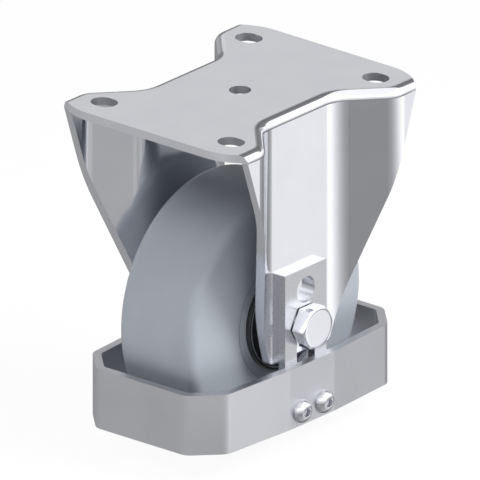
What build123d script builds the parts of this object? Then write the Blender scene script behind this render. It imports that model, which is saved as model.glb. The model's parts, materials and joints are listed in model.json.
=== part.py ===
# Fixed caster with a foot guard: pressed fork, ball-bearing wheel, axle bolt, two hangers and a guard band.
# Millimetres. +X runs along the axle to the bolt-head side, +Y is the travel direction, +Z is up.
# The origin is the centre of the mounting plate's top face.
import os
from math import cos, pi, radians, sin, sqrt, tan

from build123d import *

# Overall sizes
total_height = 170.0
wheel_d = 125.0
wheel_w = 50.0
wheel_side_gap = 7.2
cut_past = 20.0

# Fork sheet: one pressing, plate and two legs
sheet = 4.0
bend_out_r = 4.6
plate_end_y = 68.1
plate_corner_x = 44.0
plate_corner_r = 30.0
wing_flare = 20.0
slant_deg = 42.4
slant_start_y = 26.1
waist_r = 16.0
shoulder_r = 11.8
leg_top_half = 62.4
leg_low_half = 21.4
leg_below_axle = 15.9
leg_corner_r = 4.0
leg_root_r = 1.5

# Mounting holes in the plate
bolt_pitch_y = 105.0
bolt_pitch_x = 77.5
bolt_slot_w = 11.0
bolt_slot_l = 13.5
centre_hole_d = 10.5

# Axle bolt, nut and washer, M12
bolt_d = 12.0
bolt_stick_out = 6.3
bolt_end_edge = 1.0
hex_af = 19.0
hex_edge_share = 0.99
head_h = 8.0
nut_h = 10.8
washer_d = 24.0
washer_t = 2.5
washer_play = 0.5
bolt_play = 0.1

# Axle tube and its distance pieces
tube_play = 0.03
tube_d = 20.0
tube_wall = 3.0
spacer_edge = 0.5

# Deep-groove ball bearing, 20 x 47 x 14
brg_od = 47.0
brg_w = 14.0
ball_d = 7.94
ball_count = 8
ball_gap = 0.12
brg_ring_t = 3.5
seal_seat_depth = 1.0
seal_t = 0.9
seal_sunk = 0.25
seal_lip_gap = 0.3
seal_back_gap = 0.1
cage_half_t = 1.25
cage_side_gap = 2.2
brg_edge = 0.8
brg_bore_edge = 0.4
seat_play = 0.03

# Wheel details: the sides fall from the hub's face to a narrower rim
wheel_edge_r = 5.4
side_fall = 2.1
hub_face_wall = 9.5
brg_sunk = 1.0
hub_shoulder_t = 2.93
line_r = 30.3
line_w = 0.7
line_depth = 0.4

# Dust caps on the wheel's hub
cap_overlap = 2.0
cap_out = 2.2
cap_plate_t = 1.3
cap_bore_gap = 0.4
cap_rim_t = 2.0
cap_edge = 0.4
cap_line_in = 1.6
cap_line_w = 0.5
cap_line_depth = 0.35

# Hangers: flat straps on the legs' outer faces
hanger_w = 30.0
hanger_t = 4.0
hanger_over_axle = 28.5
hanger_over_guard_foot = 2.0
hanger_hole_play = 0.5
hanger_hole_rise = 17.5
slot_rise = 0.5
slot_drop = 21.5
hanger_corner_r = 0.5

# Foot guard band
guard_t = 4.0
guard_h = 30.0
guard_floor_gap = 15.0
guard_wheel_gap = 5.7
guard_end_play = 2.3
guard_flat_half = 16.0
guard_side_fall = 0.068
guard_bend_r = 7.0

# Guard screws and nuts, M6
screw_y = 8.0
screw_rise = 7.3
screw_d = 6.0
screw_hole_d = 6.6
screw_head_d = 11.6
screw_head_h = 3.9
screw_top_d = 6.2
screw_edge_h = 0.5
screw_dome_out = 0.84
screw_dome_up = 0.63
screw_end_edge = 0.6
screw_len = 14.0
socket_af = 4.0
socket_depth = 2.2
small_nut_af = 10.0
small_nut_h = 5.0

# Values that follow from the sizes above
axle_z = -(total_height - wheel_d / 2)
leg_gap_half = wheel_w / 2 + wheel_side_gap
leg_out = leg_gap_half + sheet
wing_out = leg_out + wing_flare
leg_bottom_z = axle_z - leg_below_axle
leg_slope = (leg_top_half - leg_low_half) / -leg_bottom_z
wing_end_y = leg_top_half - leg_slope * bend_out_r
slant = radians(slant_deg)
hanger_out = leg_out + hanger_t
guard_out = hanger_out + guard_t
bolt_len = 2 * hanger_out + washer_t + nut_h + bolt_stick_out
guard_bottom_z = -(total_height - guard_floor_gap)
guard_half_y = wheel_d / 2 + guard_wheel_gap + guard_t
guard_corner_sum = guard_half_y + wheel_w / 2 + guard_end_play
screw_z = guard_bottom_z + screw_rise
hanger_top_z = axle_z + hanger_over_axle
hanger_bottom_z = guard_bottom_z + hanger_over_guard_foot
hanger_hole_z = axle_z + hanger_hole_rise
hanger_hole_d = bolt_d + 2 * hanger_hole_play
slot_top_z = axle_z + slot_rise
slot_low_z = axle_z - slot_drop
distance_d = tube_d + 2 * tube_wall
pitch_r = (brg_od + tube_d) / 4
ball_r = ball_d / 2
inner_land_r = tube_d / 2 + brg_ring_t
outer_land_r = brg_od / 2 - brg_ring_t
seal_seat_r = outer_land_r + seal_seat_depth
hub_shoulder_r = brg_od / 2 + seat_play - hub_shoulder_t
hub_face_r = brg_od / 2 + hub_face_wall
rim_half = wheel_w / 2 - side_fall
cap_r = brg_od / 2 + cap_overlap
cap_line_r = cap_r - cap_line_in
hub_half = wheel_w / 2 - brg_sunk - brg_w
brg_face = wheel_w / 2 - brg_sunk


def across(face, x0, x1):
    """Extrude a sketch drawn in (y, z) from x0 to x1."""
    return extrude(Plane.YZ.offset(x0) * face, x1 - x0)


def turned(points, z=axle_z):
    """Turn a closed (x, r) outline about the X axis and lift it to height z."""
    return Pos(0, 0, z) * revolve(make_face(Polyline(*points, close=True)), Axis.X, 360)


def ring(x0, x1, r0, r1, edge=0.0):
    """A plain ring between two radii, with small outer edge chamfers if asked for."""
    if edge:
        return turned([(x0, r0), (x0, r1 - edge), (x0 + edge, r1), (x1 - edge, r1), (x1, r1 - edge), (x1, r0)])
    return turned([(x0, r0), (x0, r1), (x1, r1), (x1, r0)])


def save(name, part):
    export_step(part, "parts/" + name + ".step")


def group(parts):
    return Compound(children=list(parts))


# The fork's plan outline at a given inset from its outer face
def fork_plan(inset, half_y):
    mid, wing = leg_out - inset, wing_out - inset
    shift = inset * tan(slant / 2)
    ya = slant_start_y + shift
    yb = ya + (wing - mid) / tan(slant)
    side = [(wing, -half_y), (wing, -yb), (mid, -ya), (mid, ya), (wing, yb), (wing, half_y)]
    other = [(-x, -y) for x, y in side]
    face = make_face(Polyline(*side, *other, close=True))
    waist = [v for v in face.vertices() if abs(abs(v.X) - mid) < 0.01]
    face = fillet(waist, waist_r + inset)
    knees = [v for v in face.vertices() if abs(abs(v.Y) - yb) < 0.01 and abs(abs(v.X) - wing) < 0.01]
    return fillet(knees, shoulder_r - inset)


def make_fork():
    far_y = plate_end_y + cut_past
    body = extrude(fork_plan(0, far_y), leg_bottom_z)
    sides = [e for e in body.edges() if abs(e.center().Z) < 0.01 and abs(abs(e.center().Y) - far_y) > 1]
    body = fillet(sides, bend_out_r)
    body -= Pos(0, 0, -sheet) * extrude(fork_plan(sheet, far_y + cut_past), leg_bottom_z)

    # Plan of the plate: straight ends, and corners that sweep down to the legs' edges
    quarter = [(plate_corner_x, -plate_end_y), (wing_out, -wing_end_y), (wing_out, wing_end_y),
               (plate_corner_x, plate_end_y)]
    wide = make_face(Polyline(*quarter, *[(-x, -y) for x, y in quarter], close=True))
    corners = [v for v in wide.vertices() if abs(v.X) < wing_out - 1]
    wide = fillet(corners, plate_corner_r)
    body &= extrude(wide, leg_bottom_z)

    # Side view of the legs: a straight taper with round lower corners
    root = leg_top_half - leg_slope * sheet
    outline = [(-far_y, sheet), (far_y, sheet), (far_y, -sheet), (root, -sheet), (leg_low_half, leg_bottom_z),
               (-leg_low_half, leg_bottom_z), (-root, -sheet), (-far_y, -sheet)]
    view = make_face(Polyline(*outline, close=True))
    view = fillet([v for v in view.vertices() if abs(v.Y - leg_bottom_z) < 0.01], leg_corner_r)
    roots = [v for v in view.vertices() if abs(v.Y + sheet) < 0.01 and abs(v.X) < far_y - 1]
    view = fillet(roots, leg_root_r)
    body &= across(view, -wing_out - cut_past, wing_out + cut_past)

    # Mounting slots, centre hole and axle holes
    for sx in (1, -1):
        for sy in (1, -1):
            slot = SlotOverall(bolt_slot_l, bolt_slot_w)
            body -= Pos(sx * bolt_pitch_x / 2, sy * bolt_pitch_y / 2, 1) * extrude(slot, -sheet - 2)
    body -= Pos(0, 0, 1) * extrude(Circle(centre_hole_d / 2), -sheet - 2)
    body -= across(Pos(0, axle_z) * Circle(bolt_d / 2 + bolt_play), -leg_out - 1, leg_out + 1)
    return body


def make_wheel():
    half, rim, e = wheel_w / 2, wheel_d / 2, wheel_edge_r
    seat = brg_od / 2 + seat_play
    pts = [(0, hub_shoulder_r), (hub_half, hub_shoulder_r), (hub_half, seat), (half, seat),
           (half, line_r - line_w / 2), (half - line_depth, line_r - line_w / 2),
           (half - line_depth, line_r + line_w / 2), (half, line_r + line_w / 2),
           (half, hub_face_r), (rim_half, rim - e)]
    lines = [Line(pts[i], pts[i + 1]) for i in range(len(pts) - 1)]
    corner = RadiusArc((rim_half, rim - e), (rim_half - e, rim), -e)
    close = [Line((rim_half - e, rim), (0, rim)), Line((0, rim), (0, hub_shoulder_r))]
    half_face = make_face(lines + [corner] + close)
    half_wheel = revolve(half_face, Axis.X, 360)
    return Pos(0, 0, axle_z) * (half_wheel + mirror(half_wheel, Plane.YZ))


# Dust cap on the positive side: a spigot on the bearing's outer ring and a plate with a fine round line
def make_cap():
    face, top = wheel_w / 2, wheel_w / 2 + cap_out
    seat = brg_od / 2
    hole = distance_d / 2 + cap_bore_gap
    lo, hi = cap_line_r - cap_line_w / 2, cap_line_r + cap_line_w / 2
    return turned([(top - cap_plate_t, hole), (top, hole), (top, lo), (top - cap_line_depth, lo),
                   (top - cap_line_depth, hi), (top, hi), (top, cap_r - cap_edge), (top - cap_edge, cap_r),
                   (face, cap_r), (face, seat), (brg_face, seat), (brg_face, seat - cap_rim_t),
                   (top - cap_plate_t, seat - cap_rim_t)])


# One bearing between x0 and x1, seen as separate pieces
def bearing_pieces(x0, x1):
    mid = (x0 + x1) / 2
    bore, rim = tube_d / 2, brg_od / 2
    seat_depth = seal_sunk + seal_t + seal_back_gap
    groove = Pos(mid, 0, axle_z) * revolve(Pos(0, pitch_r) * Circle(ball_r + ball_gap), Axis.X, 360)
    inner = ring(x0, x1, bore, inner_land_r, brg_bore_edge) - groove
    outer = turned([(x0, seal_seat_r), (x0, rim - brg_edge), (x0 + brg_edge, rim), (x1 - brg_edge, rim),
                    (x1, rim - brg_edge), (x1, seal_seat_r), (x1 - seat_depth, seal_seat_r),
                    (x1 - seat_depth, outer_land_r), (x0 + seat_depth, outer_land_r),
                    (x0 + seat_depth, seal_seat_r)]) - groove
    cage_half_w = brg_w / 2 - cage_side_gap
    cage = ring(mid - cage_half_w, mid + cage_half_w, pitch_r - cage_half_t, pitch_r + cage_half_t)
    balls = []
    for i in range(ball_count):
        a = 2 * pi * (i + 0.5) / ball_count
        at = Pos(mid, pitch_r * cos(a), axle_z + pitch_r * sin(a))
        balls.append(at * Sphere(ball_r))
        cage -= at * Sphere(ball_r + ball_gap)
    lip, rim_r = inner_land_r + seal_lip_gap, seal_seat_r - seat_play
    low_seal = ring(x0 + seal_sunk, x0 + seal_sunk + seal_t, lip, rim_r)
    high_seal = ring(x1 - seal_sunk - seal_t, x1 - seal_sunk, lip, rim_r)
    return {"outer_ring": outer, "inner_ring": inner, "balls": group(balls), "cage": cage,
            "low_seal": low_seal, "high_seal": high_seal}


# A hexagon prism with chamfered corners: a corner points along Y
def hex_prism(af, x0, x1, chamfer_low, chamfer_high, z=axle_z, y=0.0):
    tip = af / sqrt(3)
    flat = hex_edge_share * af / 2
    drop = (tip - flat) * tan(radians(30))
    prism = across(Pos(0, 0) * RegularPolygon(tip, 6, rotation=0), x0, x1)
    lo = [(x0, 0), (x0, flat), (x0 + drop, tip)] if chamfer_low else [(x0, 0), (x0, tip)]
    hi = [(x1 - drop, tip), (x1, flat), (x1, 0)] if chamfer_high else [(x1, tip), (x1, 0)]
    prism &= turned(lo + hi, 0)
    return Pos(0, y, z) * prism


def make_bolt():
    end = hanger_out - bolt_len
    shank = turned([(end, 0), (end, bolt_d / 2 - bolt_end_edge), (end + bolt_end_edge, bolt_d / 2),
                    (hanger_out, bolt_d / 2), (hanger_out, 0)])
    return shank + hex_prism(hex_af, hanger_out, hanger_out + head_h, False, True)


def make_hanger(side):
    x0, x1 = side * leg_out, side * hanger_out
    z0, z1 = hanger_bottom_z, hanger_top_z
    strap = Pos(0, (z0 + z1) / 2) * RectangleRounded(hanger_w, z1 - z0, hanger_corner_r)
    strap -= Pos(0, hanger_hole_z) * Circle(hanger_hole_d / 2)
    slot_len = slot_top_z - slot_low_z + hanger_hole_d
    strap -= Pos(0, (slot_top_z + slot_low_z) / 2) * SlotOverall(slot_len, hanger_hole_d, rotation=90)
    for y in (screw_y, -screw_y):
        strap -= Pos(y, screw_z) * Circle(screw_hole_d / 2)
    return across(strap, min(x0, x1), max(x0, x1))


# Plan of the guard's outer or inner face
def guard_plan(inset):
    fall = sqrt(1 + guard_side_fall ** 2)
    x_mid = guard_out - inset
    y_knee = guard_flat_half - inset * (fall - 1) / guard_side_fall
    y_end = guard_half_y - inset
    total = guard_corner_sum - inset * sqrt(2)
    x_end = total - y_end
    y_c = (total - x_mid - guard_side_fall * y_knee) / (1 - guard_side_fall)
    x_c = total - y_c
    quarter = [(x_end, -y_end), (x_c, -y_c), (x_mid, -y_knee), (x_mid, y_knee), (x_c, y_c), (x_end, y_end)]
    face = make_face(Polyline(*quarter, *[(-x, -y) for x, y in quarter], close=True))
    bends = [v for v in face.vertices() if abs(v.Y) > y_knee + 1]
    return fillet(bends, guard_bend_r - inset)


def make_guard():
    band = Pos(0, 0, guard_bottom_z) * extrude(guard_plan(0) - guard_plan(guard_t), guard_h)
    for y in (screw_y, -screw_y):
        band -= across(Pos(y, screw_z) * Circle(screw_hole_d / 2), -guard_out - 1, guard_out + 1)
    return band


# Two screws on one side of the guard: low domed heads with a hexagon socket
def guard_screws(side):
    rim, top_r, edge = screw_head_d / 2, screw_top_d / 2, screw_edge_h
    mid = (screw_dome_out * rim, screw_dome_up * screw_head_h)
    made = []
    for y in (screw_y, -screw_y):
        base = guard_out
        head = make_face([Line((0, 0), (rim, 0)), Line((rim, 0), (rim, edge)),
                          ThreePointArc((rim, edge), mid, (top_r, screw_head_h)),
                          Line((top_r, screw_head_h), (0, screw_head_h)), Line((0, screw_head_h), (0, 0))])
        dome = revolve(head, Axis.Y, 360)
        dome = Rot(0, 0, -90) * dome
        end, r = base - screw_len, screw_d / 2
        screw = Pos(base, 0, 0) * dome + turned([(end, 0), (end, r - screw_end_edge), (end + screw_end_edge, r),
                                                 (base, r), (base, 0)], 0)
        x1 = base + screw_head_h
        screw -= across(RegularPolygon(socket_af / sqrt(3), 6), x1 - socket_depth, x1 + 1)
        screw = Pos(0, y, screw_z) * screw
        made.append(screw if side > 0 else mirror(screw, Plane.YZ))
    return group(made)


def guard_nuts(side):
    made = []
    for y in (screw_y, -screw_y):
        nut = hex_prism(small_nut_af, leg_out - small_nut_h, leg_out, True, False, screw_z, y)
        nut -= across(Pos(y, screw_z) * Circle(screw_d / 2), 0, leg_out + 1)
        made.append(nut if side > 0 else mirror(nut, Plane.YZ))
    return group(made)


os.makedirs("parts", exist_ok=True)

save("fork", make_fork())
save("wheel", make_wheel())
save("axle_tube", ring(-leg_gap_half, leg_gap_half, bolt_d / 2 + bolt_play, tube_d / 2 - tube_play))
save("distance_tube", ring(-hub_half, hub_half, tube_d / 2, distance_d / 2))
save("spacer_near", ring(brg_face, leg_gap_half, tube_d / 2, distance_d / 2, spacer_edge))
save("spacer_far", ring(-leg_gap_half, -brg_face, tube_d / 2, distance_d / 2, spacer_edge))
save("dust_cap_near", make_cap())
save("dust_cap_far", mirror(make_cap(), Plane.YZ))
save("axle_bolt", make_bolt())
nut_x = -hanger_out - washer_t
save("axle_washer", ring(nut_x, -hanger_out, bolt_d / 2 + washer_play, washer_d / 2))
nut = hex_prism(hex_af, nut_x - nut_h, nut_x, True, True)
save("axle_nut", nut - across(Pos(0, axle_z) * Circle(bolt_d / 2), nut_x - nut_h - 1, nut_x + 1))
for name, side in (("near", 1), ("far", -1)):
    save("hanger_" + name, make_hanger(side))
    save("guard_screws_" + name, guard_screws(side))
    save("guard_nuts_" + name, guard_nuts(side))
save("foot_guard", make_guard())
for name, x0 in (("near", hub_half), ("far", -brg_face)):
    pieces = bearing_pieces(x0, x0 + brg_w)
    outer_first = name == "near"
    save("bearing_" + name + "_outer_ring", pieces["outer_ring"])
    save("bearing_" + name + "_inner_ring", pieces["inner_ring"])
    save("bearing_" + name + "_balls", pieces["balls"])
    save("bearing_" + name + "_cage", pieces["cage"])
    save("bearing_" + name + "_seal_outside", pieces["high_seal" if outer_first else "low_seal"])
    save("bearing_" + name + "_seal_inside", pieces["low_seal" if outer_first else "high_seal"])
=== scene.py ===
import json
import math

import bpy
import numpy as np
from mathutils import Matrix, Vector


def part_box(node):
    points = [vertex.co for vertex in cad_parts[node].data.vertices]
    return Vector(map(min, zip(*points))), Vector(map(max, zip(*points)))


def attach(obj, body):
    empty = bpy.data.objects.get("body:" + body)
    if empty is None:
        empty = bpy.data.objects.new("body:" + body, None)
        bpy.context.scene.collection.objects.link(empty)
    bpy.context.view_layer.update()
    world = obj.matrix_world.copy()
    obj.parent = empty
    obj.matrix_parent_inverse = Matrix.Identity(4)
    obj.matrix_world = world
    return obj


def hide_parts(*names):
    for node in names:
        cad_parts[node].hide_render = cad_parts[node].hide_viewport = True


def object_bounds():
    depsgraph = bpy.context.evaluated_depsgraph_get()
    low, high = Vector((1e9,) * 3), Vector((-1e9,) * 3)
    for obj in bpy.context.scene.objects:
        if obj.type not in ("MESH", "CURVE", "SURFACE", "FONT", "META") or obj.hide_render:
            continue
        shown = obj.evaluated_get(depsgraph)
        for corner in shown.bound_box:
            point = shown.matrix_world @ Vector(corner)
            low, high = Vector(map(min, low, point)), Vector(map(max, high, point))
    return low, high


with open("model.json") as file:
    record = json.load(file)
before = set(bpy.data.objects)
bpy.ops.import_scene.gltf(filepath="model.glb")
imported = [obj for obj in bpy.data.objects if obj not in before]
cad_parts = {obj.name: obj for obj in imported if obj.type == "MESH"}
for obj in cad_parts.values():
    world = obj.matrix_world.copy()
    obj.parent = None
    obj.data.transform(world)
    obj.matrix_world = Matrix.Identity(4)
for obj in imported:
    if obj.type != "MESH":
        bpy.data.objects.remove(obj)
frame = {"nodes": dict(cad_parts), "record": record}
nodes = frame["nodes"]
cadLow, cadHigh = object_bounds()
mm = 0.001
white = (1.0, 1.0, 1.0, 1.0)
print("frame loaded:", len(nodes), "nodes")

# A Mix node's first input, second input and output, by the kind of data it mixes
mixSockets = {"FLOAT": (2, 3, 0), "RGBA": (6, 7, 2)}
colourA, colourB, colourOut = mixSockets["RGBA"]


# sRGB hex to linear RGBA: c / 12.92 below 0.04045, else ((c + 0.055) / 1.055) ** 2.4
def linearColour(text):
    c = np.array([int(text[i:i + 2], 16) for i in (1, 3, 5)]) / 255
    c = np.where(c <= 0.04045, c / 12.92, ((c + 0.055) / 1.055) ** 2.4)
    return (*c.tolist(), 1.0)


# One node: settings are its attributes, values its plain sockets, links the outputs that feed its sockets
def addNode(tree, kind, settings=None, values=None, links=None):
    node = tree.nodes.new(kind)
    for key, value in (settings or {}).items():
        setattr(node, key, value)
    for key, value in (values or {}).items():
        node.inputs[key].default_value = value
    for key, source in (links or {}).items():
        tree.links.new(source, node.inputs[key])
    return node


# Stops of a colour ramp: (place, level) or (place, hex colour)
def setStops(node, stops):
    ramp = node.color_ramp
    while len(ramp.elements) > 1:
        ramp.elements.remove(ramp.elements[-1])
    for i, (place, value) in enumerate(stops):
        stop = ramp.elements[0] if i == 0 else ramp.elements.new(place)
        stop.position = place
        stop.color = linearColour(value) if isinstance(value, str) else (value, value, value, 1.0)


cameraSet = {
    "azimuth": 40.06,          # degrees round the object, from the -Y side towards +X
    "elevation": 21.92,
    "target": (0.0, 0.0, -75.6),
    "distance": 900.0,
    "widthSeen": 224.3,        # parallel view: millimetres across the frame
    "clip": (10.0, 20000.0),
}

turn, lift = math.radians(cameraSet["azimuth"]), math.radians(cameraSet["elevation"])
back = Vector((math.sin(turn) * math.cos(lift), -math.cos(turn) * math.cos(lift), math.sin(lift)))
cameraData = bpy.data.cameras.new("camera")
cameraData.type = "ORTHO"
cameraData.ortho_scale = cameraSet["widthSeen"] * mm
cameraData.clip_start, cameraData.clip_end = (distance * mm for distance in cameraSet["clip"])
camera = bpy.data.objects.new("camera", cameraData)
camera.location = Vector(cameraSet["target"]) * mm + back * cameraSet["distance"] * mm
camera.rotation_euler = (-back).to_track_quat("-Z", "Y").to_euler()
bpy.context.scene.collection.objects.link(camera)
bpy.context.scene.camera = camera
bpy.context.scene.view_settings.view_transform = "Standard"
print("camera set")

# The rings are what a mirror sees of the studio, from straight below upwards: pairs of a compass angle, in
# degrees from +X towards +Y, and a brightness. Each ring fades in over its rise, a pair of heights between
# -1 (down) and 1 (up).
stageSet = {
    "floorColour": "#f2f2f4",
    "floorHalf": 5000.0,
    "floorGlow": 0.945,        # share of plain white that the camera sees on the floor
    "skyForDiffuse": 0.36,     # even light from all round on surfaces that aren't mirrors
    "rings": [
        # Straight below, for the cut edges that face down
        {"rise": None, "levels": [
            (-180, 0.40), (-150, 0.40), (-90, 0.37), (0, 0.60), (40, 0.90), (60, 0.42), (120, 0.20),
            (180, 0.36)]},
        # The lit ground as upright faces mirror it: dark near -34 for the slants, bright near 45 for the leg
        {"rise": (-0.66, -0.46), "levels": [
            (-180, 0.48), (-150, 0.50), (-130, 0.53), (-110, 0.57), (-90, 0.60), (-65, 0.50), (-50, 0.40),
            (-40, 0.345), (-34, 0.335), (-30, 0.38), (-20, 0.46), (-10, 0.58), (0, 0.73), (10, 0.92),
            (20, 1.12), (30, 1.30), (40, 1.38), (46, 1.20), (50, 1.05), (54, 0.75), (60, 0.46), (75, 0.33),
            (95, 0.32), (112, 0.24), (125, 0.20), (140, 0.28), (180, 0.50)]},
        # A dark line where the ground ends, which shows under the plate's bend
        {"rise": (-0.28, -0.24), "levels": [
            (-180, 0.30), (-90, 0.26), (0, 0.30), (40, 0.26), (60, 0.22), (180, 0.30)]},
        # A calm horizon
        {"rise": (-0.15, -0.12), "levels": [
            (-180, 0.80), (-150, 0.85), (-60, 0.88), (15, 0.95), (70, 0.95), (92, 0.85), (104, 0.50),
            (112, 0.26), (145, 0.26), (160, 0.60), (180, 0.80)]},
        # The foot of the big soft box on the right
        {"rise": (0.09, 0.15), "levels": [
            (-180, 0.85), (-150, 0.90), (-60, 1.00), (-10, 1.30), (15, 2.30), (70, 2.30), (82, 1.30),
            (104, 0.50), (112, 0.26), (145, 0.26), (160, 0.60), (180, 0.85)]},
        # The soft boxes in front and on the right, and the grey patch at 130 that the plate's top mirrors
        {"rise": (0.27, 0.33), "levels": [
            (-180, 0.90), (-150, 1.00), (-90, 1.30), (-60, 2.00), (-20, 2.00), (15, 2.30), (66, 2.30),
            (73, 1.10), (79, 0.30), (118, 0.18), (125, 0.40), (129, 0.72), (133, 0.80), (150, 0.74),
            (180, 0.90)]},
        # The top of the right box, which closes the highlight along the plate's bend
        {"rise": (0.54, 0.64), "levels": [
            (-180, 0.95), (-60, 1.05), (-30, 1.20), (-10, 2.20), (66, 2.30), (73, 1.10), (79, 0.30),
            (118, 0.18), (125, 0.40), (129, 0.72), (133, 0.80), (180, 0.95)]},
        # An even ceiling
        {"rise": (0.78, 0.90), "levels": [(-180, 1.22), (180, 1.22)]},
    ],
}

world = bpy.data.worlds.new("studio")
bpy.context.scene.world = world
world.use_nodes = True
tree = world.node_tree
tree.nodes.clear()
place = addNode(tree, "ShaderNodeTexCoord")
parts = addNode(tree, "ShaderNodeSeparateXYZ", links={0: place.outputs["Generated"]})
compass = addNode(tree, "ShaderNodeMath", {"operation": "ARCTAN2"},
                  links={0: parts.outputs["Y"], 1: parts.outputs["X"]})
share = addNode(tree, "ShaderNodeMapRange", None, {"From Min": -math.pi, "From Max": math.pi},
                {"Value": compass.outputs[0]})
mirrorView = None
for ring in stageSet["rings"]:
    ramp = addNode(tree, "ShaderNodeValToRGB", links={0: share.outputs[0]})
    setStops(ramp, [((angle + 180) / 360, level) for angle, level in ring["levels"]])
    if mirrorView is None:
        mirrorView = ramp.outputs[0]
        continue
    rise = addNode(tree, "ShaderNodeMapRange", {"interpolation_type": "SMOOTHSTEP"},
                   {"From Min": ring["rise"][0], "From Max": ring["rise"][1]}, {"Value": parts.outputs["Z"]})
    ringMix = addNode(tree, "ShaderNodeMix", {"data_type": "RGBA"},
                      links={0: rise.outputs[0], colourA: mirrorView, colourB: ramp.outputs[0]})
    mirrorView = ringMix.outputs[colourOut]
path = addNode(tree, "ShaderNodeLightPath")
evenView = addNode(tree, "ShaderNodeMix", {"data_type": "RGBA"},
                   {colourA: (stageSet["skyForDiffuse"],) * 3 + (1.0,)},
                   {0: path.outputs["Is Glossy Ray"], colourB: mirrorView})
whiteRay = addNode(tree, "ShaderNodeMath", {"operation": "MAXIMUM"},
                   links={0: path.outputs["Is Camera Ray"], 1: path.outputs["Is Transmission Ray"]})
seen = addNode(tree, "ShaderNodeMix", {"data_type": "RGBA"}, {colourB: white},
               {0: whiteRay.outputs[0], colourA: evenView.outputs[colourOut]})
sky = addNode(tree, "ShaderNodeBackground", links={"Color": seen.outputs[colourOut]})
addNode(tree, "ShaderNodeOutputWorld", links={"Surface": sky.outputs[0]})

# Floor: near white to the camera with a soft shadow, a pale matt board to other rays, clear to mirror rays,
# which see the rings instead
half = stageSet["floorHalf"] * mm
floorMesh = bpy.data.meshes.new("floor")
corners = [(x * half, y * half, cadLow.z) for x, y in ((-1, -1), (1, -1), (1, 1), (-1, 1))]
floorMesh.from_pydata(corners, [], [(0, 1, 2, 3)])
floor = bpy.data.objects.new("floor", floorMesh)
bpy.context.scene.collection.objects.link(floor)
floorLook = bpy.data.materials.new("paleBoard")
floorLook.use_nodes = True
tree = floorLook.node_tree
tree.nodes.clear()
path = addNode(tree, "ShaderNodeLightPath")
board = addNode(tree, "ShaderNodeBsdfDiffuse", None, {"Color": linearColour(stageSet["floorColour"])})
glow = addNode(tree, "ShaderNodeEmission", None, {"Color": white, "Strength": 1.0})
glowShare = addNode(tree, "ShaderNodeMath", {"operation": "MULTIPLY"}, {1: stageSet["floorGlow"]},
                    {0: path.outputs["Is Camera Ray"]})
lit = addNode(tree, "ShaderNodeMixShader",
              links={0: glowShare.outputs[0], 1: board.outputs[0], 2: glow.outputs[0]})
clear = addNode(tree, "ShaderNodeBsdfTransparent")
shown = addNode(tree, "ShaderNodeMixShader",
                links={0: path.outputs["Is Glossy Ray"], 1: lit.outputs[0], 2: clear.outputs[0]})
addNode(tree, "ShaderNodeOutputMaterial", links={"Surface": shown.outputs[0]})
floorMesh.materials.append(floorLook)

# Square lamps, with the watts of the whole face. Mirror rays see only the card, which lifts the far leg.
lampSet = [
    {"name": "sideBox", "at": (750, 250, 600), "size": 500, "watts": 12.6, "mirrored": False},
    {"name": "frontBox", "at": (-420, -800, 900), "size": 600, "watts": 7.4, "mirrored": False},
    {"name": "fillBox", "at": (700, -500, 350), "size": 500, "watts": 0.8, "mirrored": False},
    {"name": "farLegCard", "at": (95, -133, -122), "size": 90, "watts": 0.0036, "mirrored": True,
     "towards": (-42, -38, -55)},
]
for lamp in lampSet:
    data = bpy.data.lights.new(lamp["name"], "AREA")
    data.shape = "SQUARE"
    data.size = lamp["size"] * mm
    data.energy = lamp["watts"]
    light = bpy.data.objects.new(lamp["name"], data)
    light.location = Vector(lamp["at"]) * mm
    towards = Vector(lamp.get("towards", cameraSet["target"])) * mm
    light.rotation_euler = (towards - light.location).to_track_quat("-Z", "Y").to_euler()
    light.visible_glossy = lamp["mirrored"]
    light.visible_camera = False
    bpy.context.scene.collection.objects.link(light)
print("stage and lamps set")

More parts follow.
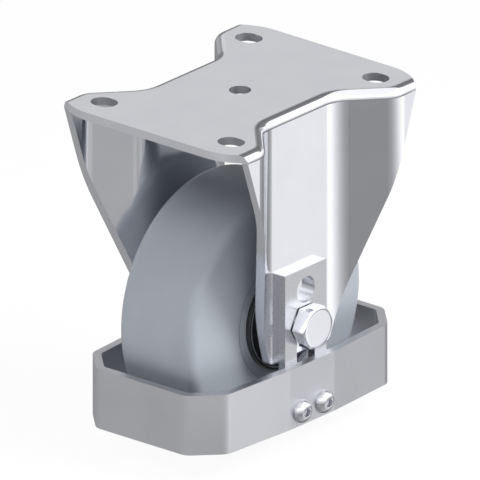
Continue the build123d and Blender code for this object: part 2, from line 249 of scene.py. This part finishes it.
# Sizes in mm. low and high are near colours in patches of patchSize, grainDepth the height of the fine grain
# and roughSpread how far the roughness swings with it.
finishSet = {
    # Bright zinc plating on pressed steel: near-mirror, a faint cool tint, uneven in coin-sized patches
    "zincBright": {
        "metallic": 1.0, "roughness": 0.10, "roughSpread": 0.02, "low": "#dfe1e7", "high": "#e4e5ea",
        "patchSize": 22.0, "grainSize": 1.4, "grainDepth": 0.0012},
    # The same plating on forged screw heads: a soft gloss over the marks of the die
    "zincForged": {
        "metallic": 1.0, "roughness": 0.26, "roughSpread": 0.04, "low": "#c9cad0", "high": "#cfd0d6",
        "patchSize": 6.0, "grainSize": 0.6, "grainDepth": 0.004},
    # Satin zinc plating on laser-cut strip: the same metal left matt by the rolled surface below it
    "zincSatin": {
        "metallic": 1.0, "roughness": 0.27, "roughSpread": 0.03, "low": "#c6c7cb", "high": "#cbccd0",
        "patchSize": 24.0, "grainSize": 0.5, "grainDepth": 0.002},
    # The guard's band: the same strip bent cold, a little duller
    "zincBand": {
        "metallic": 1.0, "roughness": 0.41, "roughSpread": 0.03, "low": "#cfd0d5", "high": "#d4d5da",
        "patchSize": 24.0, "grainSize": 0.5, "grainDepth": 0.002},
    # Grey moulded polyamide: silky, with the mould's tiny pits, drawn coarser than real so that they show
    "polyamideGrey": {
        "metallic": 0.0, "roughness": 0.46, "roughSpread": 0.06, "low": "#959ba3", "high": "#9ba1a8",
        "patchSize": 30.0, "grainSize": 0.6, "grainDepth": 0.012},
    # Black moulded plastic of the dust caps: a dull sheen, barely uneven
    "capBlack": {
        "metallic": 0.0, "roughness": 0.34, "roughSpread": 0.05, "low": "#232629", "high": "#2b2e32",
        "patchSize": 12.0, "grainSize": 0.5, "grainDepth": 0.006},
    # Black nitrile rubber of the bearing seals: matt, no highlight
    "sealNitrile": {
        "metallic": 0.0, "roughness": 0.62, "roughSpread": 0.05, "low": "#1a1b1d", "high": "#212325",
        "patchSize": 8.0, "grainSize": 0.4, "grainDepth": 0.01},
    # Ground bearing steel of the rings: even and smooth, a little grey
    "steelGround": {
        "metallic": 1.0, "roughness": 0.22, "roughSpread": 0.04, "low": "#aaacaf", "high": "#b2b4b6",
        "patchSize": 10.0, "grainSize": 0.3, "grainDepth": 0.001},
    # Polished steel balls: plain mirrors
    "steelPolished": {
        "metallic": 1.0, "roughness": 0.06, "roughSpread": 0.01, "low": "#cdcdd0", "high": "#d3d3d6",
        "patchSize": 6.0, "grainSize": 0.5, "grainDepth": 0.0005},
    # Pressed sheet steel of the cages: soft grey, faintly rolled
    "steelPressed": {
        "metallic": 1.0, "roughness": 0.34, "roughSpread": 0.05, "low": "#b0b0b1", "high": "#b8b8b8",
        "patchSize": 9.0, "grainSize": 0.5, "grainDepth": 0.003},
}
noiseSet = {"patchDetail": 2.0, "patchRoughness": 0.5, "patchEdges": (0.3, 0.7), "grainDetail": 3.0,
            "grainRoughness": 0.55}


# A finish: colour = mix(low, high, noise(p / patchSize)) and roughness = roughness +- roughSpread by the same
# grain, noise(p / grainSize), that lifts the surface by up to grainDepth
def newFinish(name, s):
    made = bpy.data.materials.new(name)
    made.use_nodes = True
    tree = made.node_tree
    tree.nodes.clear()
    spot = addNode(tree, "ShaderNodeTexCoord").outputs["Object"]
    patch = addNode(tree, "ShaderNodeTexNoise", None,
                    {"Scale": 1 / (s["patchSize"] * mm), "Detail": noiseSet["patchDetail"],
                     "Roughness": noiseSet["patchRoughness"]}, {"Vector": spot})
    tint = addNode(tree, "ShaderNodeValToRGB", links={0: patch.outputs[0]})
    setStops(tint, list(zip(noiseSet["patchEdges"], (s["low"], s["high"]))))
    grain = addNode(tree, "ShaderNodeTexNoise", None,
                    {"Scale": 1 / (s["grainSize"] * mm), "Detail": noiseSet["grainDetail"],
                     "Roughness": noiseSet["grainRoughness"]}, {"Vector": spot})
    rough = addNode(tree, "ShaderNodeMapRange", None,
                    {"To Min": s["roughness"] - s["roughSpread"],
                     "To Max": s["roughness"] + s["roughSpread"]}, {"Value": grain.outputs[0]})
    bump = addNode(tree, "ShaderNodeBump", None, {"Strength": 1.0, "Distance": s["grainDepth"] * mm},
                   {"Height": grain.outputs[0]})
    shader = addNode(tree, "ShaderNodeBsdfPrincipled", None, {"Metallic": s["metallic"]},
                     {"Base Color": tint.outputs[0], "Roughness": rough.outputs[0],
                      "Normal": bump.outputs[0]})
    addNode(tree, "ShaderNodeOutputMaterial", links={"Surface": shader.outputs[0]})
    return made


finishes = {name: newFinish(name, values) for name, values in finishSet.items()}


# Weight 1 on the surface that passes every test: the length of (p - centre) * kept lies within reach of
# distance, with |p| for p where mirrored
def nearMask(tree, spot, tests):
    mask = None
    for test in tests:
        at = spot
        if test["mirrored"]:
            at = addNode(tree, "ShaderNodeVectorMath", {"operation": "ABSOLUTE"}, links={0: at}).outputs[0]
        offset = addNode(tree, "ShaderNodeVectorMath", {"operation": "SUBTRACT"},
                         {1: Vector(test["centre"]) * mm}, {0: at})
        kept = addNode(tree, "ShaderNodeVectorMath", {"operation": "MULTIPLY"}, {1: test["kept"]},
                       {0: offset.outputs[0]})
        length = addNode(tree, "ShaderNodeVectorMath", {"operation": "LENGTH"}, links={0: kept.outputs[0]})
        passed = addNode(tree, "ShaderNodeMath", {"operation": "COMPARE"},
                         {1: test["distance"] * mm, 2: test["reach"] * mm}, {0: length.outputs["Value"]})
        if mask is not None:
            passed = addNode(tree, "ShaderNodeMath", {"operation": "MULTIPLY"},
                             links={0: mask, 1: passed.outputs[0]})
        mask = passed.outputs[0]
    return mask


# Other values for a finish's shader where nearMask is 1: socket = mix(socket, value, mask)
def changeNear(finish, tests, values):
    tree = finish.node_tree
    shader = tree.nodes["Principled BSDF"]
    mask = nearMask(tree, tree.nodes["Texture Coordinate"].outputs["Object"], tests)
    for key, value in values.items():
        socket = shader.inputs[key]
        kind = "RGBA" if isinstance(value, str) else "FLOAT"
        was, new, out = mixSockets[kind]
        mix = addNode(tree, "ShaderNodeMix", {"data_type": kind},
                      {was: socket.default_value, new: linearColour(value) if kind == "RGBA" else value},
                      {0: mask})
        if socket.is_linked:
            tree.links.new(socket.links[0].from_socket, mix.inputs[was])
        tree.links.new(mix.outputs[out], socket)


# Punched walls of the plate's holes: sheared, so matt, between the plated faces. Mirrored tests let one slot
# stand for all four.
punchedSet = {
    "slotPitch": (77.5, 105.0), "slotReach": 7.2, "centreReach": 5.6, "sheet": 4.0, "faceLeft": 0.07,
    "look": {"Roughness": 0.55, "Base Color": "#a9abb0"},
}
sheetHalf = punchedSet["sheet"] / 2
slotX, slotY = (pitch / 2 for pitch in punchedSet["slotPitch"])
for x, y, reach in ((slotX, slotY, punchedSet["slotReach"]), (0.0, 0.0, punchedSet["centreReach"])):
    changeNear(finishes["zincBright"], [
        {"centre": (x, y, sheetHalf), "kept": (1, 1, 0), "distance": 0.0, "reach": reach, "mirrored": True},
        {"centre": (x, y, sheetHalf), "kept": (0, 0, 1), "distance": 0.0, "mirrored": True,
         "reach": sheetHalf - punchedSet["faceLeft"]},
    ], punchedSet["look"])

boltLow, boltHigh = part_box("axle_bolt")
axleZ = (boltLow.z + boltHigh.z) / 2 / mm

# Painted highlight: a thin bright metal ring painted into each black dust cap at its groove, partly a steel
# edge and partly the highlight that edge catches
capRingHighlightSet = {"radius": 23.9, "halfWidth": 0.3,
              "look": {"Base Color": "#d8dade", "Metallic": 1.0, "Roughness": 0.3}}
changeNear(finishes["capBlack"], [
    {"centre": (0.0, 0.0, axleZ), "kept": (0, 1, 1), "mirrored": False,
     "distance": capRingHighlightSet["radius"], "reach": capRingHighlightSet["halfWidth"]},
], capRingHighlightSet["look"])

finishOfSlot = {
    "bright_steel": "zincBright", "satin_steel": "zincSatin", "wheel_grey": "polyamideGrey",
    "black_cap": "capBlack", "seal_rubber": "sealNitrile", "bearing_steel": "steelGround",
    "ball_steel": "steelPolished", "cage_steel": "steelPressed",
}
finishOfNode = {"foot_guard": "zincBand"}
for row in frame["record"]["subparts"]:
    node = nodes[row["node"]]
    finish = finishOfNode.get(row["node"], finishOfSlot[row["material_slot"]])
    node.data.materials.clear()
    node.data.materials.append(finishes[finish])
print("finishes given to the nodes")


# A skin of rings round the X axis: point (row, column) is (x, r cos t, r sin t), with x = x[row],
# r = radius[row, column] and t the column's share of a full turn, then moved by centre. The first and last
# rings close on the axis.
def ringSkin(x, radius, centre):
    rows, columns = radius.shape
    column = np.arange(columns)
    after = (column + 1) % columns
    t = 2 * np.pi * column / columns
    along = np.broadcast_to(x[:, None], radius.shape)
    grid = np.stack([along, radius * np.cos(t), radius * np.sin(t)], axis=-1)
    poles = np.array([[x[0], 0.0, 0.0], [x[-1], 0.0, 0.0]])
    points = np.concatenate([grid.reshape(-1, 3), poles]) + np.array(centre)
    rowStart = np.arange(rows - 1)[:, None] * columns
    here, beside = rowStart + column, rowStart + after
    quads = np.stack([here, beside, beside + columns, here + columns], axis=-1).reshape(-1, 4)
    lastRow, lowPole, highPole = (rows - 1) * columns, rows * columns, rows * columns + 1
    lowFan = np.stack([after, column, np.full(columns, lowPole)], axis=-1)
    highFan = np.stack([lastRow + column, lastRow + after, np.full(columns, highPole)], axis=-1)
    return points, quads, np.concatenate([lowFan, highFan])


# One mesh piece from several skins, smooth but for edges that turn by more than creaseAngle degrees
def makePiece(name, skins, finish, creaseAngle=32.0):
    points, faces, start = [], [], 0
    for skinPoints, quads, fans in skins:
        points.append(skinPoints)
        faces += (quads + start).tolist() + (fans + start).tolist()
        start += len(skinPoints)
    mesh = bpy.data.meshes.new(name)
    mesh.from_pydata((np.concatenate(points) * mm).tolist(), [], faces)
    mesh.polygons.foreach_set("use_smooth", np.ones(len(mesh.polygons), dtype=bool))
    mesh.set_sharp_from_angle(angle=math.radians(creaseAngle))
    mesh.materials.append(finishes[finish])
    piece = bpy.data.objects.new(name, mesh)
    bpy.context.scene.collection.objects.link(piece)
    return piece


# Metric thread, in shares of its pitch
threadSet = {"depth": 0.613, "crest": 0.14, "root": 0.22}


# Depth of the thread at x and t: a crest and a root flat joined by straight flanks along a right-hand helix,
# depth * pitch * clip((s - crest) / (1 - crest - root)), with s = |2 frac(x / pitch - t / turn) - 1|
def threadDepth(x, columns, pitch):
    turnShare = np.arange(columns) / columns
    s = np.abs(2 * np.mod(x[:, None] / pitch - turnShare[None, :], 1.0) - 1)
    flank = 1 - threadSet["crest"] - threadSet["root"]
    return threadSet["depth"] * pitch * np.clip((s - threadSet["crest"]) / flank, 0.0, 1.0)


# Threaded shank from its bevelled end at x = start: radius = min(r - depth * fade, r - endEdge + x - start),
# where fade falls from 1 to 0 over the shank's last fadeLength. hand is -1 for a skin that is mirrored later.
def threadRows(s, start, hand=1):
    r = s["diameter"] / 2
    x = np.linspace(start, start + s["threadLength"], int(s["threadLength"] / s["pitch"] * s["rowsPerPitch"]))
    depth = threadDepth(hand * x, s["columns"], s["pitch"])
    if s["fadeLength"]:
        depth *= np.clip((x[-1] - x) / s["fadeLength"], 0.0, 1.0)[:, None]
    return x, np.minimum(r - depth, (r - s["endEdge"] + x - start)[:, None])


# Radius of a hexagon with softened corners: r = flat / (sum of max(0, cos(t - flat's angle)) ** p) ** (1 / p)
def hexRadius(columns, acrossFlats, p=60.0):
    t = 2 * np.pi * np.arange(columns) / columns
    flats = np.radians(30 + 60 * np.arange(6))
    facing = np.clip(np.cos(t[:, None] - flats[None, :]), 0.0, None)
    return acrossFlats / 2 / (facing ** p).sum(axis=1) ** (1 / p)


# Softened smaller of two radii: (a ** -p + b ** -p) ** (-1 / p)
def softSmaller(a, b, p=90.0):
    return (a ** -p + b ** -p) ** (-1 / p)


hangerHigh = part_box("hanger_near")[1]
boltSet = {
    "end": boltLow.x / mm, "top": boltHigh.x / mm, "seat": hangerHigh.x / mm, "axleZ": axleZ,
    "diameter": 12.0, "pitch": 1.75, "threadLength": 24.0, "fadeLength": 1.75, "endEdge": 1.0,
    "collarDiameter": 17.2, "collarHeight": 0.5,
    "acrossFlats": 19.0, "topFlatShare": 0.99, "coneDegrees": 30.0, "coneHeight": 1.6, "coneRows": 17,
    "underEdge": [(0.0, 0.25), (0.12, 0.06), (0.3, 0.0)],    # height above the collar, and how far in
    "faceShares": [0.985, 0.9, 0.6, 0.3], "faceEdge": 0.05,
    "columns": 96, "rowsPerPitch": 14,
}


# Hexagon bolt: the threaded end, the plain shank, the thin round collar, the head above it and its face.
# The head's radius is the softened smaller of the hexagon and a cone, flat + (top - x) / tan(coneDegrees).
def makeAxleBolt(s):
    r, collar, collarTop = s["diameter"] / 2, s["collarDiameter"] / 2, s["seat"] + s["collarHeight"]
    xThread, thread = threadRows(s, s["end"])
    edgeUp, edgeIn = np.array(s["underEdge"]).T
    xCone = np.linspace(s["top"] - s["coneHeight"], s["top"], s["coneRows"])
    xHead = np.concatenate([collarTop + edgeUp, xCone])
    slope = math.tan(math.radians(s["coneDegrees"]))
    cone = s["topFlatShare"] * s["acrossFlats"] / 2 + (s["top"] - xHead) / slope
    head = softSmaller(hexRadius(s["columns"], s["acrossFlats"])[None, :], cone[:, None])
    head[:len(edgeIn)] -= edgeIn[:, None]
    face = np.array(s["faceShares"])[:, None] * head[-1]
    xHead[-1] -= s["faceEdge"]
    x = np.concatenate([xThread, [s["seat"], s["seat"], collarTop], xHead, np.full(len(face), s["top"])])
    radius = np.concatenate([thread, np.outer((r, collar, collar), np.ones(s["columns"])), head, face])
    return ringSkin(x, radius, (0.0, 0.0, s["axleZ"]))


axleBolt = makePiece("axleBolt", [makeAxleBolt(boltSet)], "zincBright")
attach(axleBolt, "frame")
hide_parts("axle_bolt")
print("axle bolt made")

screwSet = {
    "headDiameter": 11.6, "headHeight": 3.9, "topDiameter": 6.2, "rimHeight": 0.5, "edge": 0.12,
    "domeOut": 0.84, "domeUp": 0.63,          # the dome's middle, in shares of the rim and of the height
    "domeRows": 14, "topEdge": 0.05,
    "socketAcross": 4.0, "socketDepth": 2.2, "mouthDiameter": 4.56, "socketTaper": 0.99,
    "floorCone": 0.35, "floorShare": 0.25,
    "diameter": 6.0, "pitch": 1.0, "threadLength": 14.0, "fadeLength": 0.0, "endEdge": 0.6,
    "spread": 8.0, "columns": 60, "rowsPerPitch": 10,
}


# Arc through three points: its centre c solves 2 (q - p) . c = |q|^2 - |p|^2, with p the first point and q
# each of the others
def arcThrough(points, count):
    points = np.array(points)
    squares = (points ** 2).sum(axis=1)
    centre = np.linalg.solve(2 * (points[1:] - points[0]), squares[1:] - squares[0])
    spokes = points - centre
    angles = np.arctan2(spokes[:, 1], spokes[:, 0])
    t = np.linspace(angles[0], angles[-1], count)
    size = math.hypot(*spokes[0])
    return centre[0] + size * np.cos(t), centre[1] + size * np.sin(t)


# Low domed screw from the threaded end to the floor of its socket: the dome is an arc turned round the axis,
# and the socket a hexagon from a round mouth down to a blunt cone. side is 1, or -1 for the mirrored side.
def makeGuardScrew(s, base, side, y, z):
    rim, top, edge = s["headDiameter"] / 2, s["headHeight"], s["edge"]
    xThread, thread = threadRows(s, -s["threadLength"], side)
    middle = (s["domeOut"] * rim, s["domeUp"] * top)
    domeR, domeX = arcThrough([(rim, s["rimHeight"]), middle, (s["topDiameter"] / 2, top)], s["domeRows"])
    domeR[-1] -= s["topEdge"]
    socket = hexRadius(s["columns"], s["socketAcross"])
    mouth = np.maximum(socket + edge, s["mouthDiameter"] / 2)
    floorX = top - s["socketDepth"]
    x = np.concatenate([xThread, [0.0, edge], domeX, [top, top - edge, floorX, floorX - s["floorCone"]]])
    radius = np.concatenate([thread, np.outer([rim - edge, rim, *domeR], np.ones(s["columns"])),
                             [mouth, socket, socket * s["socketTaper"], socket * s["floorShare"]]])
    points, quads, fans = ringSkin(x, radius, (0.0, 0.0, 0.0))
    points[:, 0] *= side
    if side < 0:
        quads, fans = quads[:, ::-1], fans[:, ::-1]
    return points + np.array([base, y, z]), quads, fans


for side, name in ((1, "near"), (-1, "far")):
    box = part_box("guard_screws_" + name)
    seat = (box[1].x if side > 0 else box[0].x) / mm - side * screwSet["headHeight"]
    midZ = (box[0].z + box[1].z) / 2 / mm
    skins = [makeGuardScrew(screwSet, seat, side, y, midZ) for y in (screwSet["spread"], -screwSet["spread"])]
    screws = makePiece("guardScrews" + name.capitalize(), skins, "zincForged")
    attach(screws, "frame")
    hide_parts("guard_screws_" + name)
print("guard screws made")

bpy.context.view_layer.update()
